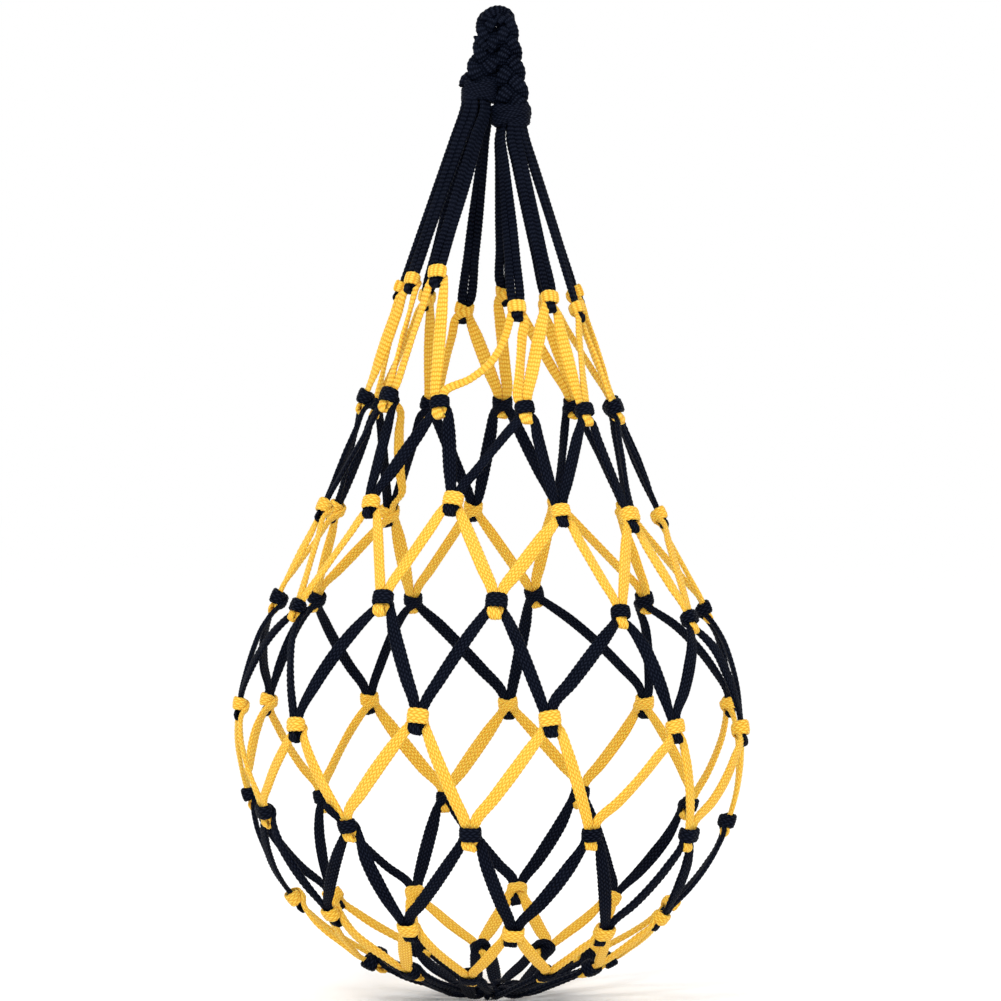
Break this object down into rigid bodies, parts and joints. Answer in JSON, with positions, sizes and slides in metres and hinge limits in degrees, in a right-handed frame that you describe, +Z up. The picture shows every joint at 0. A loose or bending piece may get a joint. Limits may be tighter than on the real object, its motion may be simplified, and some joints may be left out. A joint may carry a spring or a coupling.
{
  "type": "mesh ball bag",
  "caption": "Knotted diamond-mesh cord bag that carries a ball, with gathered straps and a short plaited handle loop whose mouth opens.",
  "frame": {"origin": "lowest point of the closing knot under the bag, on the bag's axis", "axes": "+Z up along the bag's axis to the handle, +X to the right seen from the front, front faces -Y"},
  "size_m": [0.2298, 0.2291, 0.4416],
  "materials": {
    "cord_black": "flat braided polyester cord, soft sheen",
    "cord_yellow": "flat braided polyester cord, soft sheen"
  },
  "bodies": {
    "net": {"net_course_3_black": "cord_black", "net_course_4_yellow": "cord_yellow", "net_course_5_black": "cord_black", "net_course_6_yellow": "cord_yellow", "net_course_7_black": "cord_black", "net_course_8_yellow": "cord_yellow", "net_course_9_black": "cord_black", "base_draw_ring": "cord_black", "base_closing_knot": "cord_black", "carried_cord_yellow": "cord_yellow"},
    "neck_left": {"neck_course_left_yellow": "cord_yellow", "strap_left_1": "cord_black", "strap_left_2": "cord_black", "strap_left_3": "cord_black", "strap_left_4": "cord_black", "strap_left_5": "cord_black"},
    "neck_right": {"neck_course_right_yellow": "cord_yellow", "strap_right_1": "cord_black", "strap_right_2": "cord_black", "strap_right_3": "cord_black", "strap_right_4": "cord_black", "strap_right_5": "cord_black", "strap_right_6": "cord_black", "handle_knot_right": "cord_black"},
    "handle_tie": {"handle_knot_left": "cord_black"},
    "handle_left": {"plait_left_strand_1": "cord_black", "plait_left_strand_2": "cord_black", "plait_left_strand_3": "cord_black", "handle_fold_left": "cord_black"},
    "handle_right": {"plait_right_strand_1": "cord_black", "plait_right_strand_2": "cord_black", "plait_right_strand_3": "cord_black", "handle_fold_right": "cord_black"}
  },
  "joints": [
    {"name": "mouth_left_open", "type": "hinge", "parent": "net", "child": "neck_left", "pos_m": [-0.0585, 0, 0.2675], "axis": [0, -1, 0], "range_deg": [0, 11], "stiffness_Nm_per_rad": 0.02},
    {"name": "mouth_right_open", "type": "hinge", "parent": "net", "child": "neck_right", "pos_m": [0.0585, 0, 0.2675], "axis": [0, 1, 0], "range_deg": [0, 11], "stiffness_Nm_per_rad": 0.02},
    {"name": "handle_flop", "type": "hinge", "parent": "neck_left", "child": "handle_tie", "pos_m": [-0.0062, 0, 0.405], "axis": [0.807, 0, -0.5905], "range_deg": [-70, 70], "stiffness_Nm_per_rad": 0.02},
    {"name": "handle_left_lean", "type": "hinge", "parent": "handle_tie", "child": "handle_left", "pos_m": [-0.0062, 0, 0.405], "axis": [0, 1, 0], "range_deg": [0, 53]},
    {"name": "handle_fold_open", "type": "hinge", "parent": "handle_left", "child": "handle_right", "pos_m": [0.003, 0, 0.4416], "axis": [0, -1, 0], "range_deg": [0, 80]}
  ],
  "couplings": [
    {"joint": "mouth_right_open", "follows": "mouth_left_open", "ratio": 1},
    {"joint": "handle_left_lean", "follows": "mouth_left_open", "ratio": 4.8},
    {"joint": "handle_fold_open", "follows": "mouth_left_open", "ratio": 7.2}
  ]
}
